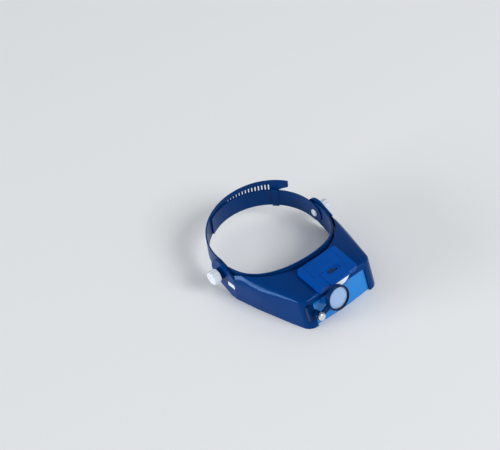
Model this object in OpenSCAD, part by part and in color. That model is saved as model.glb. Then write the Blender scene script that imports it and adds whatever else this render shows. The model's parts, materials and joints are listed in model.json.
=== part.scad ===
// Head visor magnifier: a hood with a lens window, a swing loupe, a lamp and an adjustable headband.
// Millimetres, +Z up, the hood's flat lower rim on Z = 0, the lens facing -Y, the wearer's left at +X.

/* [Head loop] */
// Inner width of the head loop at the ears
loop_w = 150.6; // [144:0.2:158]
// Distance from the pivot axis back to the centre of the rear arc
loop_back = 10; // [6:0.5:16]
// Distance from the pivot axis forward to the centre of the forehead arc
loop_front = 3.5; // [2:0.25:5]
// Thickness of the two rear straps
strap_t = 1.8; // [1.4:0.1:2.2]
// Height of the rear straps
strap_h = 26; // [22:0.5:28]
// Height of the straps' middle line above the pivot
strap_lift = 1.5; // [0:0.25:2.5]
// Upward tilt of the straps towards the back
strap_tilt = 3.3; // [0:0.1:5]
// Gap between the straps where they overlap
strap_gap = 0.3; // [0.2:0.05:0.5]
// Angle round the back, from the wearer's left, where the inner strap ends
inner_end = 122; // [110:1:130]
// Angle round the back, from the wearer's left, where the slotted strap ends
tongue_end = 27; // [22:1:34]
// Upward roll of the slotted strap towards the wearer's left
tongue_roll = 6.4; // [4:0.1:8]
// Number of adjusting slots in the slotted strap
slot_count = 14; // [8:1:15]
// Width of an adjusting slot
slot_w = 1.7; // [1.4:0.1:2.2]
// Distance between adjusting slots
slot_pitch = 4.5; // [4:0.1:5]

/* [Forehead band] */
// Thickness of the forehead band
band_t = 2.4; // [2:0.1:2.8]
// Radius of the round ends at the pivots
ear_r = 13; // [11:0.5:14]
// Height of the band's top edge above the pivot, at the ears
band_top_ear = 15; // [13:0.5:16]
// Height of the band's top edge above the pivot, at the middle of the forehead
band_top_front = 27.3; // [22:0.1:27.5]
// Height of the band's lower edge under the pivot, at the middle of the forehead
band_low_front = 8; // [4:0.5:12]
// Extra depth of the band's lower edge at the temples
temple_drop = 7.5; // [3:0.5:9]

/* [Pivot] */
// Height of the pivot axis above the rim
pivot_z = 27.5; // [26:0.25:30]
// Radius of the pivot bolt's shank
bolt_r = 3; // [2.5:0.1:3.4]
// Radius of the bolt's round inner head
bolt_head_r = 5.4; // [4.8:0.1:6.5]
// Height of the bolt's inner head
bolt_head_t = 2; // [1.5:0.1:2.6]
// Thickness of the friction washer
washer_t = 0.7; // [0.5:0.05:1]
// Radial clearance of turning fits
run_fit = 0.05; // [0.03:0.01:0.08]
// Length of the ringed spacer between an arm and its knob
spacer_l = 4.55; // [3:0.05:6]
// Radius of the spacer
spacer_r = 8.2; // [7:0.1:9]
// Length of a knob
knob_l = 10.6; // [9.5:0.1:12]
// Radius of a knob over its lobes
knob_r = 9.4; // [8.8:0.1:10.5]
// Number of lobes on a knob
knob_lobes = 9; // [6:1:12]

/* [Hood] */
// Wall thickness of the hood
hood_wall = 2.4; // [2:0.1:2.8]
// Radius of the hood's rounded ridge
hood_r = 5.5; // [5:0.1:6.5]
// Backward lean of the front face
front_lean = 12.4; // [10:0.1:14]
// Height of the front face, measured along it
front_h = 43; // [42:0.25:46]
// Width of the front face
front_w = 117; // [114:0.5:120]
// Radius of the front face's round corners, seen from above
corner_r = 14; // [12:0.5:14.5]
// Height of the ridge where the arms begin
ridge_z = 34; // [33:0.25:35]
// Distance from the pivot axis to where the side walls begin to taper
taper_y = 27; // [26:0.5:30]
// Distance from the pivot axis to the shoulders of the side walls
shoulder_y = 60; // [56:0.5:64]
// Inset of the hood's shoulders from the arms
shoulder_in = 6.9; // [6:0.1:8]
// Height of the ridge at the shoulders
shoulder_z = 36.5; // [35.5:0.25:37.5]
// Gap between the forehead band and the head-shaped rear rim
rim_gap = 2.5; // [2.2:0.1:3]
// Distance from the pivot axis forward to the centre of the rear rim
rim_front = 4.5; // [4:0.1:5]
// Height of the crown at the middle of the rear rim
crown_z = 47.5; // [47:0.25:48.5]
// Drop of the crown from the middle towards the sides
crown_drop = 10; // [9:0.5:11]
// Radius of the arm's round end
arm_r = 18.5; // [17:0.25:19]
// Thickness of the arm
arm_t = 3; // [2.6:0.1:3.4]
// Length of the slot in each side wall
wall_slot_l = 13.5; // [11:0.5:14]
// Height of the slot in each side wall
wall_slot_h = 6.8; // [5:0.1:7.5]

/* [Lenses] */
// Width of the cheeks beside the window in the front face
cheek_w = 16; // [15.5:0.25:18]
// Height of the front face above the window
brow_h = 10; // [9:0.25:10.5]
// Overlap of the main lens behind the window's edge
lens_lap = 2; // [1.6:0.1:2.2]
// Thickness of the main lens at its edge
lens_t = 2.8; // [2.4:0.1:3.2]
// Radius of the main lens's curved face
lens_curve = 330; // [300:5:500]
// Distance from the window's edge to the flip-down lens at each side
flip_side = 5.5; // [5:0.25:7]
// Height of the flip-down lens
flip_h = 22; // [20:0.5:23]
// Thickness of the flip-down lens
flip_t = 2.4; // [2:0.1:2.8]

/* [Loupe] */
// Sideways distance from the window's edge out to the loupe's pivot
loupe_out = 1; // [0.5:0.25:1.5]
// Height of the loupe's pivot along the front face
loupe_pw = 20; // [18:0.25:21]
// Distance from the loupe's pivot to the middle of its ring
loupe_reach = 31; // [29:0.25:33]
// Upward angle of the loupe's arm
loupe_angle = 17.9; // [14:0.1:20]
// Outer radius of the loupe's ring
loupe_r = 16.4; // [15.5:0.1:17]
// Thickness of the loupe's ring
loupe_t = 6; // [5.8:0.1:6.6]
// Thickness of the loupe's arm
loupe_arm_t = 3.2; // [2.8:0.1:3.4]
// Distance from the front face to the back of the loupe's ring
loupe_off = 9.6; // [9.5:0.05:10.5]

/* [Lamp] */
// Room between a cell's end and the lamp's side
lamp_side = 8.25; // [8:0.05:9]
// Distance from the lamp's back to the crown of the rear rim
lamp_tail = 4.6; // [4.4:0.1:6]
// Overhang of the lamp's cover in front of the brow
lamp_over = 6.6; // [6:0.1:7]
// Height of the lamp above the hood's top
lamp_rise = 8; // [7.7:0.1:9]
// Wall thickness of the lamp's cover and base
lamp_wall = 1.6; // [1.4:0.1:1.8]
// Width of the raised nose
nose_w = 30; // [28:0.5:32]
// Height of the nose above the lamp's cover
nose_rise = 1.2; // [0.8:0.1:1.6]
// Distance from the front face to the nose's front
nose_out = 8.5; // [8:0.1:8.7]
// Diameter of a cell
cell_d = 10.5; // [10:0.1:10.5]
// Length of a cell
cell_l = 44.5; // [43:0.1:44.5]
// Travel of the switch
switch_travel = 5; // [4:0.5:6]
// Sideways place of the switch
switch_x = 3; // [0:0.5:4]

/* [Hidden] */
$fn = 96;
ball_fn = 28;
far = 400;
seat = 0.05;
slip = 0.25;

strap_in = loop_w / 2;
ear_in = strap_in + strap_t;
ear_out = ear_in + band_t;
arm_in = ear_out + washer_t + seat;
arm_out = arm_in + arm_t;
knob_in = arm_out + spacer_l + 2 * seat;
friction_r = 9;
insert_r = bolt_r + 1.4;
insert_l = 7.4;
spacer_step = 0.9;
knob_edge = 1.6;
lobe_r = 2.2;
lobe_out = 1.1;
dimple_r = 3.2;
dimple_t = 0.9;
bolt_dome = 1.2;
bolt_rim_t = 0.8;
bolt_short = 5;

layer = (strap_t + strap_gap) / 2;
inner_r = strap_in - layer;
outer_r = strap_in + layer;
strap_lo = strap_lift - strap_h / 2;
strap_hi = strap_lift + strap_h / 2;
ahead = -90;
strap_end_r = ear_r - 0.5;
strap_end_y = 7;
tongue_tall = 20;
tongue_low_x = 40;
tongue_low_roll = 5.6;
tongue_tip_x = 14;
tongue_tip_z = 9;
tongue_turn_z = 2.5;
slot_first = 47.2;
slot_step = slot_pitch / outer_r * 180 / PI;
slot_edge = 6;
slot_l = 11;
stud_slot = 2;
stud_fit = 0.2;
stud_down = 2.4;
buckle_a = 41.1;
buckle_span = 7.2;
buckle_wall = 1;
buckle_fit = 0.2;
buckle_top = 12;
band_reach = loop_front + ear_out;
band_steps = 14;

cell_gap = 1.5;
cell_fit = 0.775;
cell_clear = 0.3;
tub_wall = 1.3;
tub_side = 3;
tub_y0 = 7.5;
tub_l = 2 * (cell_d + cell_fit + tub_wall) + cell_gap;
tub_y1 = tub_y0 + tub_l;
lamp_y0 = -lamp_over;
lamp_y1 = tub_y1 + lamp_wall + slip;
lamp_w = cell_l + 2 * lamp_side;
tub_w = lamp_w - 2 * tub_side;
lamp_roof = lamp_rise - lamp_wall;
base_deep = cell_d + lamp_wall + cell_clear - lamp_roof;

hood_half = arm_out + 3 * seat;
hood_low = -14;
pad_front = taper_y + 0.5;
hood_tail = 3;
arm_low_y = 18;
arm_low_a = -62;
arm_high_a = 122;
wall_slot_y = 20.7;
wall_slot_z = 19.4;
plug_in = 0.4;
plug_out = 0.3;
rim_r = ear_out + rim_gap;
crown_r = rim_r - 2;
crown_y = -rim_front - crown_r;
crown_turn = 66;
crown_step = 6;
corner_step = 22.5;
brow_w = front_h - hood_r;
brow_z = brow_w * cos(front_lean) - hood_r * sin(front_lean);
panel_l = lamp_y1 + lamp_tail;
panel_rise = crown_z - hood_r - brow_z;
panel_run = sqrt(panel_l * panel_l - panel_rise * panel_rise);
panel_slope = atan2(panel_rise, panel_run);
brow_back = hood_r * cos(front_lean) + brow_w * sin(front_lean);
brow_y = crown_y - panel_run;
front_reach = brow_back - brow_y;

window_w = front_w - 2 * cheek_w;
window_h = front_h - brow_h;
lens_w = window_w + 2 * lens_lap;
lens_lo = 0.8;
lens_top_lap = 1.4;
lens_hi = window_h + lens_top_lap;
lens_back = hood_wall + lens_t + slip;
frame_side = 2;
frame_t = 2;
frame_gap = 0.7;
frame_back = lens_back + frame_t;
boss_r = 2.5;
boss_x = lens_w / 2 + frame_side + boss_r + 4 * seat;
boss_rows = [0.28 * window_h, 0.845 * window_h];
lens_screw_r = 1;
screw_head_r = 2.1;
screw_head_t = 1.2;
screw_slot = 0.5;
flip_w = window_w - 2 * flip_side;
flip_rim = 2.2;
flip_first = 2.4;
flip_pin_r = 1.5;
hinge_drop = 9.5;
flip_axis_w = front_h - hinge_drop;
flip_axis_n = frame_back + 3.6;
flip_frame_t = flip_t + 1.6;
flip_half = flip_w / 2 + flip_rim;
lug_gap = 0.4;
lug_t = 3;
lug_r = 3.2;
flip_pin_l = 2.6;

loupe_px = window_w / 2 + loupe_out;
loupe_pivot_r = 2;
loupe_edge_r = 0.8;
loupe_eye_r = 5.2;
loupe_lip = 1.9;
loupe_edge = 1.6;
loupe_seat_r = loupe_r - 1.5;
loupe_lip_r = loupe_seat_r - 0.9;
loupe_curve = 46;
loupe_bar_w = 6;
loupe_head_t = 2.1;
loupe_head_edge = 0.6;
loupe_slot = 1.2;
loupe_slot_a = 35;
loupe_head_r = 4.8;
loupe_washer_t = 0.5;
bracket_w = 9;
bracket_l = 22;
bracket_up = 3;
bracket_t = 2.6;
bracket_deep = 4;
bracket_in = 0.3;
bracket_r = 5;
bracket_x = loupe_px + 1 + bracket_w / 2;
bracket_pin_x = bracket_x + 1;
bracket_pin_r = 1.4;
bracket_pin_gap = 8;
loupe_cx = -loupe_px + loupe_reach * cos(loupe_angle);
loupe_cw = loupe_pw + loupe_reach * sin(loupe_angle);

cell_pitch = cell_d + cell_gap;
cell_y = (tub_y0 + tub_y1) / 2;
cell_z = -base_deep + lamp_wall + cell_d / 2 + cell_clear / 3;
cell_nub = 1.2;
contact_t = 0.6;
contact_w = 8;
door_w = cell_l + 0.9;
door_y0 = tub_y0 + 4;
door_gap = 0.15;
door_tab = 16;
door_stop = 0.6;
ledge_w = 3;
ledge_t = 1.4;
clip_l = 7;
clip_t = 1.4;
nose_deep = 6;
nose_top = 2;
nose_low = front_h - nose_deep;
nose_sag = nose_deep + nose_top;
nose_r = (nose_w * nose_w / 4 + nose_sag * nose_sag) / (2 * nose_sag);
nose_in = 0.3;
nose_wall = 0.9;
nose_floor = nose_in + nose_wall;
window_t = 1.2;
window_set = 0.3;
cone_l = 2.6;
led_x = 6;
led_r = 1.5;
switch_y = 6.5;
skirt_deep = 2.6;
recess_l = 20;
recess_w = 5.4;
lamp_screw_x = tub_w / 2 - 2.3;
lamp_screw_r = 1;
lamp_boss_r = 2.1;
slider_l = 9;
slider_w = 4.4;
slider_stem = 1.8;

// Height up the front face at which a plane above the hood's top is met, at a distance from the face
function roof_w(n, lift) = (lift + hood_r - (brow_back + n * cos(front_lean)) * sin(panel_slope)
    + (brow_z - n * sin(front_lean)) * cos(panel_slope)) / cos(front_lean + panel_slope);
led_low = nose_low + nose_r - sqrt(pow(nose_r - nose_floor, 2) - led_x * led_x);
led_w = (led_low + roof_w(nose_out / 2, lamp_roof)) / 2;

// Height of the slotted strap's upper and lower edges at a place across the head
function tongue_top(x) = strap_hi + (x + strap_in) * tan(tongue_roll);
function tongue_low(x) = strap_lo - 2 * slip + (x + tongue_low_x) * tan(tongue_low_roll);

reach_front = -front_reach - (loupe_off + loupe_t - loupe_edge_r) * cos(front_lean)
    + (loupe_cw - loupe_r + loupe_edge_r) * sin(front_lean) - loupe_edge_r;
reach_back = (loop_back + outer_r + strap_t) * cos(strap_tilt) - tongue_low(layer) * sin(strap_tilt);
middle_y = (reach_front + reach_back) / 2;

// Frames: the whole part, the front face, the hood's top, the pivots

// The origin lies under the middle of the part
module whole() { translate([0, -middle_y, 0]) children(); }

// Front face: x sideways, y up along the face, z out of it
module face() { whole() translate([0, -front_reach, 0]) rotate([90 - front_lean, 0, 0]) children(); }

// Top panel: x sideways, y back along the panel from the brow, z out of it
module panel() {
    whole() translate([0, brow_y, brow_z]) rotate([panel_slope, 0, 0]) translate([0, 0, hood_r]) children();
}

// Pivot: z outwards along the axis, on the wearer's left (1) or right (-1)
module pivot(side) { whole() translate([0, 0, pivot_z]) rotate([0, side * 90, 0]) children(); }

// Headband: the pivot axis is the X axis
module headband() { whole() translate([0, 0, pivot_z]) children(); }

// Side view: a flat outline in Y and Z given a width along X
module side_extrude(x0, x1) {
    rotate([90, 0, 90]) translate([0, 0, x0]) linear_extrude(x1 - x0) children();
}

// Both sides, the wearer's left as drawn and the right mirrored
module both_sides() { for (s = [0, 1]) mirror([s, 0, 0]) children(); }

// Rectangle with round corners, from its middle
module round_rect(w, l, r) {
    square([w - 2 * r, l], center = true);
    square([w, l - 2 * r], center = true);
    for (sx = [-1, 1], sy = [-1, 1]) translate([sx * (w / 2 - r), sy * (l / 2 - r)]) circle(r);
}

// Block from y0 to y1 and z0 to z1, centred sideways
module block(w, y0, y1, z0, z1) { translate([-w / 2, y0, z0]) cube([w, y1 - y0, z1 - z0]); }

// Visor

module ball(r, x, y, z) { translate([x, y, z]) sphere(r, $fn = ball_fn); }

// Closed form of the hood, as balls at its corners: the same corners with smaller balls give the inside
module hood_form(r) {
    turn_r = corner_r - hood_r;
    hull() {
        for (s = [-1, 1]) {
            for (w = [hood_low, brow_w], a = [0 : corner_step : 90]) {
                ball(r, s * (front_w / 2 - corner_r + turn_r * sin(a)),
                    -front_reach + hood_r * cos(front_lean) + w * sin(front_lean) + turn_r * (1 - cos(a)),
                    w * cos(front_lean) - hood_r * sin(front_lean));
            }
            for (z = [hood_low, shoulder_z - hood_r]) {
                ball(r, s * (hood_half - shoulder_in - hood_r), -shoulder_y, z);
            }
            for (y = [-taper_y, 0], z = [hood_low, ridge_z - hood_r]) {
                ball(r, s * (hood_half - hood_r), y, z);
            }
        }
        for (a = [-crown_turn : crown_step : crown_turn]) {
            ball(r, crown_r * sin(a), -rim_front - crown_r * cos(a),
                crown_z - crown_drop * (1 - cos(a)) - hood_r);
        }
    }
}

// Side outline of an arm: the round end at the pivot runs into the wall's ridge and rim
module arm_outline() {
    translate([0, pivot_z]) circle(arm_r);
    polygon([[-pad_front, 0], [-arm_low_y, 0],
        [arm_r * cos(arm_low_a), pivot_z + arm_r * sin(arm_low_a)], [0, pivot_z],
        [arm_r * cos(arm_high_a), pivot_z + arm_r * sin(arm_high_a)], [-pad_front, ridge_z]]);
}

// The four places beside the lens where its frame is screwed on
module bosses(n) { for (s = [-1, 1], w = boss_rows) translate([s * boss_x, w, n]) children(); }

module visor_hood() {
    color("#0b3f8a") difference() {
        union() {
            whole() difference() {
                hood_form(hood_r);
                hood_form(hood_r - hood_wall);
                translate([0, -rim_front, -1]) cylinder(r = rim_r, h = far);
                block(far, -taper_y + hood_tail, far, -far, far);
                block(far, -far, far, -far, 0);
            }
            whole() both_sides() side_extrude(arm_in, arm_out) arm_outline();
            face() bosses(-lens_back) cylinder(r = boss_r, h = lens_back - hood_wall + seat);
        }
        face() translate([0, window_h / 2 - 20, -hood_wall - 1]) linear_extrude(hood_wall + 3)
            round_rect(window_w, window_h + 40, 3);
        whole() block(far, -wall_slot_y - wall_slot_l / 2, -wall_slot_y + wall_slot_l / 2,
            wall_slot_z - wall_slot_h / 2, wall_slot_z + wall_slot_h / 2);
        panel() block(tub_w + 2 * slip, tub_y0 - slip, tub_y1 + slip, -hood_wall - 2, 2);
        for (s = [-1, 1]) pivot(s) cylinder(r = bolt_r + run_fit, h = far);
        face() bosses(-lens_back - 1) cylinder(r = lens_screw_r, h = lens_back - frame_gap);
        bracket_pins(seat);
    }
}

// White block that fills the slot in an arm
module slot_plug(side) {
    l = wall_slot_l - 2 * seat;
    h = wall_slot_h - 2 * seat;
    color("#f1f2f2") whole() mirror([side < 0 ? 1 : 0, 0, 0])
        translate([arm_in + plug_in, -wall_slot_y - l / 2, wall_slot_z - h / 2])
        cube([arm_t - plug_in + plug_out, l, h]);
}
module slot_plug_right() { slot_plug(-1); }
module slot_plug_left() { slot_plug(1); }

// Main lens: flat at the back, bulged at the front
module main_lens() {
    half = window_w / 2 - 1;
    bulge = lens_curve - sqrt(lens_curve * lens_curve - half * half);
    color("#8fd8f2") face() {
        translate([-lens_w / 2, lens_lo, -lens_back + slip / 2]) cube([lens_w, lens_hi - lens_lo, lens_t]);
        intersection() {
            translate([0, (lens_lo + window_h - slip) / 2, -lens_back + slip]) linear_extrude(lens_t + 6)
                round_rect(window_w - 2 * slip, window_h - slip - lens_lo, 2.8);
            translate([0, (lens_lo + lens_hi) / 2, -hood_wall - slip / 2 + bulge - lens_curve])
                sphere(lens_curve, $fn = 360);
        }
    }
}

// Frame that holds the main lens against the front face and carries the flip-down lens
module lens_frame() {
    frame_w = lens_w + 2 * frame_side;
    lug_x = flip_half + lug_gap;
    color("#0a3676") face() difference() {
        union() {
            translate([-frame_w / 2, lens_lo, -frame_back]) cube([frame_w, lens_hi + 1.2 - lens_lo,
                frame_back - hood_wall - frame_gap]);
            bosses(-frame_back) cylinder(r = boss_r, h = frame_t - seat);
            for (s = [-1, 1], w = boss_rows) translate([s * (boss_x - 2) - 2, w - boss_r, -frame_back])
                cube([4, 2 * boss_r, frame_t - seat]);
            for (s = [-1, 1]) translate([s * (lug_x + lug_t / 2) - lug_t / 2, flip_axis_w, 0]) {
                translate([0, 0, -flip_axis_n]) rotate([0, 90, 0]) cylinder(r = lug_r, h = lug_t);
                translate([0, -lug_r, -flip_axis_n])
                    cube([lug_t, 2 * lug_r, flip_axis_n - frame_back + frame_t / 3]);
            }
        }
        translate([-lens_w / 2 - slip / 2, lens_lo - 1, -lens_back]) cube([lens_w + slip,
            lens_hi - lens_lo + 1 + slip / 2, lens_back]);
        translate([0, (lens_lo + window_h) / 2 + 0.8, -frame_back - 1]) linear_extrude(frame_back)
            round_rect(window_w - 3, window_h - lens_lo - 3, 3);
        bosses(-frame_back - 1) cylinder(r = lens_screw_r + 4 * seat, h = frame_back);
        translate([0, flip_axis_w, -flip_axis_n]) rotate([0, 90, 0])
            cylinder(r = flip_pin_r + run_fit, h = far, center = true);
    }
}

// Small screw with a cross in its head, which lies under z = 0
module cross_screw(r, l) {
    cylinder(r = r, h = l);
    translate([0, 0, -screw_head_t]) difference() {
        cylinder(r1 = screw_head_r - screw_slot, r2 = screw_head_r, h = screw_head_t);
        for (a = [0, 90]) rotate([0, 0, a]) translate([-1.5, -screw_slot / 2, -1])
            cube([3, screw_slot, 1 + screw_head_t / 2]);
    }
}

// Four small screws that hold the lens frame on the hood's bosses
module lens_screws() {
    color("#c8ccd0") face() bosses(-frame_back)
        cross_screw(lens_screw_r, frame_t + lens_back - hood_wall - slip);
}

// Hinge frame of the flip-down lens: y runs back along the lens, which is stowed under the hood's top
module flip_place() {
    face() translate([0, flip_axis_w, -flip_axis_n]) rotate([front_lean + panel_slope - 90, 0, 0])
        children();
}

module flip_frame() {
    outer_l = flip_h + 2 * flip_rim;
    color("#0a3676") flip_place() difference() {
        union() {
            translate([0, flip_first + outer_l / 2, -flip_frame_t / 2]) linear_extrude(flip_frame_t)
                round_rect(2 * flip_half, outer_l, 3);
            rotate([0, 90, 0]) cylinder(r = flip_frame_t / 2 + 0.4, h = 2 * flip_half, center = true);
            block(2 * flip_half, 0, flip_first + flip_rim, -flip_frame_t / 2, flip_frame_t / 2);
            for (s = [-1, 1]) rotate([0, s * 90, 0]) translate([0, 0, flip_half - 1])
                cylinder(r = flip_pin_r, h = 1 + lug_gap + flip_pin_l);
        }
        translate([0, flip_first + outer_l / 2, -flip_t / 2]) linear_extrude(flip_frame_t)
            square([flip_w, flip_h], center = true);
        translate([0, flip_first + outer_l / 2, -flip_frame_t]) linear_extrude(2 * flip_frame_t)
            round_rect(flip_w - 3, flip_h - 3, 2);
    }
}

module flip_lens() {
    color("#a5def0") flip_place() translate([0, flip_first + flip_h / 2 + flip_rim, -flip_t / 2])
        linear_extrude(flip_t) square([flip_w - slip, flip_h - slip], center = true);
}

// Loupe

// Two pins that hold the bracket in the hood's cheek
module bracket_pins(grow) {
    start = -bracket_deep - 0.6;
    for (s = [-1, 1]) face() translate([-bracket_pin_x, loupe_pw + s * bracket_pin_gap / 2, start])
        cylinder(r = bracket_pin_r + grow, h = bracket_t - 1.2 - start);
}

// Plate that follows the hood's round corner, with a post for the loupe's arm
module loupe_bracket() {
    color("#0a3676") {
        face() difference() {
            union() {
                translate([-bracket_x, loupe_pw + bracket_up, -bracket_deep])
                    linear_extrude(bracket_deep + bracket_t) round_rect(bracket_w, bracket_l, 2.5);
                translate([-loupe_px, loupe_pw, bracket_in])
                    cylinder(r = bracket_r, h = loupe_off - bracket_in - 2 * seat);
                translate([-bracket_x, loupe_pw - bracket_r, bracket_in])
                    cube([bracket_x - loupe_px, 2 * bracket_r, bracket_t - bracket_in - 2 * seat]);
            }
            translate([-front_w / 2 + corner_r, 0, -corner_r]) rotate([90, 0, 0])
                cylinder(r = corner_r + 4 * seat, h = far, center = true);
            translate([-loupe_px, loupe_pw, 2]) cylinder(r = loupe_pivot_r, h = far);
        }
        bracket_pins(0);
    }
}

module loupe_screw() {
    head_n = loupe_off + loupe_arm_t + loupe_washer_t + 2 * seat;
    color("#d5d8dc") face() translate([-loupe_px, loupe_pw, 0]) difference() {
        union() {
            translate([0, 0, 2]) cylinder(r = loupe_pivot_r, h = head_n - 1.5);
            translate([0, 0, head_n]) cylinder(r = loupe_head_r, h = loupe_head_t - loupe_head_edge);
            translate([0, 0, head_n + loupe_head_t - loupe_head_edge])
                cylinder(r1 = loupe_head_r, r2 = loupe_head_r - 0.8, h = loupe_head_edge);
        }
        rotate([0, 0, loupe_slot_a]) translate([-far, -loupe_slot / 2, head_n + loupe_head_t - 1.1])
            cube([2 * far, loupe_slot, far]);
    }
}

module loupe_washer() {
    color("#b9bdc2") face() translate([-loupe_px, loupe_pw, loupe_off + loupe_arm_t + seat]) difference() {
        cylinder(r = loupe_head_r - 0.3, h = loupe_washer_t);
        translate([0, 0, -1]) cylinder(r = loupe_pivot_r + run_fit, h = 3);
    }
}

// Arm with its ring, moulded in one
module loupe_arm() {
    color("#0a2f66") face() difference() {
        union() {
            translate([-loupe_px, loupe_pw, loupe_off]) cylinder(r = loupe_eye_r, h = loupe_arm_t);
            translate([-loupe_px, loupe_pw, loupe_off]) rotate([0, 0, loupe_angle])
                translate([0, -loupe_bar_w / 2, 0.1])
                cube([loupe_reach - loupe_seat_r - 0.8, loupe_bar_w, loupe_arm_t - 0.2]);
            translate([loupe_cx, loupe_cw, loupe_off]) rotate_extrude() union() {
                square([loupe_r, loupe_t - loupe_edge_r]);
                square([loupe_r - loupe_edge_r, loupe_t]);
                translate([loupe_r - loupe_edge_r, loupe_t - loupe_edge_r]) circle(loupe_edge_r);
            }
        }
        translate([loupe_cx, loupe_cw, 0]) cylinder(r = loupe_lip_r, h = far);
        translate([loupe_cx, loupe_cw, loupe_off + loupe_lip]) cylinder(r = loupe_seat_r, h = far);
        translate([-loupe_px, loupe_pw, 0]) cylinder(r = loupe_pivot_r + run_fit, h = far);
    }
}

// Round lens, bulged on both sides, with a flat edge that sits on the ring's lip
module loupe_lens() {
    dome_r = loupe_lip_r - slip;
    sag = loupe_curve - sqrt(loupe_curve * loupe_curve - dome_r * dome_r);
    color("#dfe6f6") face() translate([loupe_cx, loupe_cw, loupe_off + loupe_lip]) {
        cylinder(r = loupe_seat_r - seat, h = loupe_edge);
        intersection() {
            translate([0, 0, loupe_curve - sag]) sphere(loupe_curve, $fn = 240);
            translate([0, 0, loupe_edge - loupe_curve + sag]) sphere(loupe_curve, $fn = 240);
            cylinder(r = dome_r, h = far, center = true);
        }
    }
}

module loupe_retainer() {
    back = loupe_off + loupe_lip + loupe_edge;
    color("#10182a") face() translate([loupe_cx, loupe_cw, back + seat]) difference() {
        cylinder(r = loupe_seat_r - seat, h = loupe_off + loupe_t - back - 0.4);
        translate([0, 0, -1]) cylinder(r = loupe_lip_r, h = far);
    }
}

// Lamp

module lamp_box(w, y0, y1, z0, z1, r) {
    translate([0, (y0 + y1) / 2, z0]) linear_extrude(z1 - z0) round_rect(w, y1 - y0, r);
}

// Tub that hangs through the hood's top and holds the cells
module lamp_base() {
    color("#0a3676") panel() difference() {
        union() {
            lamp_box(tub_w, tub_y0, tub_y1, -base_deep, lamp_wall, 2);
            lamp_box(lamp_w - 2 * lamp_wall - 2 * slip, 1.5, tub_y1, seat, lamp_wall, 2);
            for (s = [-1, 1]) translate([s * tub_w / 2 - 1, tub_y0 + 2, -hood_wall - clip_t - 4 * seat])
                cube([2, clip_l, clip_t]);
        }
        lamp_box(tub_w - 2 * lamp_wall, tub_y0 + tub_wall, tub_y1 - tub_wall,
            -base_deep + lamp_wall, far, 1);
        for (s = [-1, 1]) translate([s * lamp_screw_x, cell_y, -far])
            cylinder(r = lamp_screw_r + 2 * seat, h = 2 * far);
    }
}

// Nose in front of the lamp, round below, inset all round: from one distance off the face to another
module nose_block(inset, back, out, lift) {
    turn = asin(nose_w / 2 / nose_r);
    r = nose_r - inset;
    intersection() {
        face() translate([0, 0, back]) linear_extrude(out - back) polygon(concat(
            [for (i = [-12 : 12]) [r * sin(turn * i / 12), nose_low + nose_r - r * cos(turn * i / 12)]],
            [[r * sin(turn), front_h + 20], [-r * sin(turn), front_h + 20]]));
        panel() block(far, -far, 12, -far, lamp_rise + lift);
    }
}

module lamp_cover() {
    inner_w = lamp_w - 2 * lamp_wall;
    color("#0d4a9c") difference() {
        union() {
            panel() difference() {
                union() {
                    lamp_box(lamp_w, lamp_y0, lamp_y1, seat, lamp_rise, 2.5);
                    lamp_box(lamp_w, 2, lamp_y1, -skirt_deep, lamp_wall, 2.5);
                    lamp_box(nose_w, lamp_y0 + 0.5, door_y0 - 1, lamp_roof, lamp_rise + nose_rise, 1);
                }
                lamp_box(inner_w, lamp_y0 + lamp_wall, lamp_y1 - lamp_wall, -far, lamp_roof, 1.5);
            }
            nose_block(nose_in, 0.4, nose_out, nose_rise - 3 * seat);
            for (s = [-1, 1]) panel()
                translate([s * (cell_l / 2 + 1.7) - ledge_w / 2, door_y0 + 1, lamp_roof - ledge_t])
                cube([ledge_w, lamp_y1 - door_y0 - 4, ledge_t + seat]);
            panel() block(door_w - 4, door_y0 - 1.2, door_y0 + 0.9, lamp_roof - 0.8, lamp_roof + 0.1);
            for (s = [-1, 1]) panel() translate([s * (lamp_screw_x + 0.2), cell_y, lamp_wall + seat])
                cylinder(r = lamp_boss_r, h = lamp_roof - lamp_wall);
        }
        whole() hood_form(hood_r + 3 * seat);
        nose_block(nose_floor, 0.9, far, -lamp_wall);
        panel() block(door_w + 2 * door_gap, door_y0 - door_gap, lamp_y1 - lamp_wall - door_stop,
            lamp_roof - seat, far);
        panel() block(door_tab + 2 * door_gap, lamp_y1 - 4, far, lamp_roof - 2.6, far);
        panel() block(door_w - 3, door_y0 + 1, lamp_y1 - 3, 1, far);
        panel() translate([switch_x, switch_y, lamp_rise + nose_rise - 1.2]) linear_extrude(far)
            round_rect(recess_l, recess_w, 1.5);
        panel() block_at(switch_x, recess_l - 8, switch_y - 1, switch_y + 1, 0, far);
        for (s = [-1, 1]) panel() translate([s * lamp_screw_x, cell_y, -1])
            cylinder(r = lamp_screw_r, h = lamp_roof);
    }
}

module block_at(x, w, y0, y1, z0, z1) { translate([x, 0, 0]) block(w, y0, y1, z0, z1); }

// Lid over the cells, with a thumb tab at the back
module battery_door() {
    color("#0d4a9c") panel() {
        block(door_w, door_y0, lamp_y1 - lamp_wall - door_stop - door_gap, lamp_roof + seat, lamp_rise);
        block(door_tab, lamp_y1 - 6, lamp_y1 - seat, lamp_roof + seat, lamp_rise);
        block(door_tab, lamp_y1 - lamp_wall + 0.3, lamp_y1 - seat, lamp_roof - 2.3, lamp_rise);
    }
}

module lamp_window() {
    color("#f4f7fb") nose_block(nose_floor + seat, nose_out - window_t - window_set, nose_out - window_set,
        -lamp_wall - seat);
}

// Bright block with a cone in front of each light
module reflector() {
    front = nose_out - window_t - window_set - 2 * seat;
    color("#e6e9ee") difference() {
        nose_block(nose_floor + seat, front - cone_l, front, -lamp_wall - seat);
        for (s = [-1, 1]) face() translate([s * led_x, led_w, front - cone_l - seat])
            cylinder(r1 = led_r + 0.15, r2 = led_r + 1.1, h = cone_l + 2 * seat);
    }
}

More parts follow.
